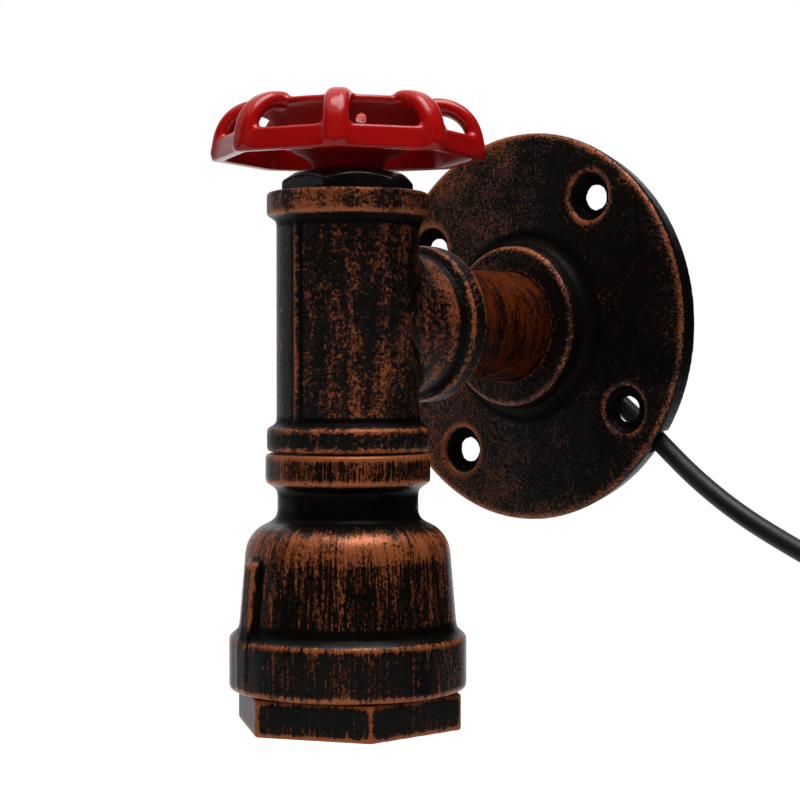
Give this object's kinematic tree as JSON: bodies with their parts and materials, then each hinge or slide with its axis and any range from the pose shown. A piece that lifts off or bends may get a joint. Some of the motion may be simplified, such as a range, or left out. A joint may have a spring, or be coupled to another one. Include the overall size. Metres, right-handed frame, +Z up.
{
  "type": "pipe wall light",
  "caption": "Wall light of black, copper-rubbed pipe fittings: flange, pipe, tee with a red handwheel that turns the switch, and a bell that holds a screw lampholder, with a coiled cord.",
  "frame": {"origin": "centre of the flange's back face, on the wall", "axes": "+Y into the wall, -Y out of it along the pipe, +Z up along the tee's run, +X to the right as seen from the front"},
  "size_m": [0.2262, 0.1018, 0.2278],
  "materials": {
    "rubbed_casting": "black paint over cast iron, rubbed through to copper on the edges",
    "rubbed_pipe": "reddish copper paint on a steel pipe",
    "black_enamel": "gloss",
    "red_enamel": "gloss enamel on a casting",
    "plated_steel": "zinc plated",
    "brass": "satin",
    "nylon": "matte",
    "phenolic": "moulded, satin",
    "ceramic": "glazed",
    "red_wire": "satin",
    "blue_wire": "satin",
    "cord_sheath": "satin flexible sheath",
    "plug_moulding": "satin moulding"
  },
  "bodies": {
    "light": {"wall_flange": "rubbed_casting", "pipe_nipple": "rubbed_pipe", "pipe_tee": "rubbed_casting", "close_nipple": "plated_steel", "bell_reducer": "rubbed_casting", "hex_bushing": "rubbed_casting", "bonnet_plug": "black_enamel", "switch_housing": "nylon", "switch_base": "ceramic", "switch_terminals": "brass", "switch_nut": "plated_steel", "holder_plate": "plated_steel", "lamp_tube": "brass", "tube_nuts": "brass", "lampholder_cap": "phenolic", "lampholder_core": "ceramic", "lampholder_sleeve": "phenolic", "screw_shell": "brass", "centre_contact": "brass", "terminal_screws": "plated_steel", "cord_grip": "nylon", "wire_live": "red_wire", "wire_switched": "red_wire", "wire_neutral": "blue_wire", "cord": "cord_sheath", "cord_coil": "cord_sheath", "cord_tail": "cord_sheath", "coil_tie": "nylon", "plug_body": "plug_moulding", "plug_pins": "brass"},
    "wheel": {"handwheel": "red_enamel", "valve_stem": "plated_steel", "wheel_washer": "plated_steel", "wheel_nut": "plated_steel", "switch_rotor": "brass"}
  },
  "joints": [
    {"name": "wheel_turn", "type": "hinge", "parent": "light", "child": "wheel", "pos_m": [0, -0.0703, 0.035], "axis": [0, 0, -1], "range_deg": [0, 300]}
  ]
}
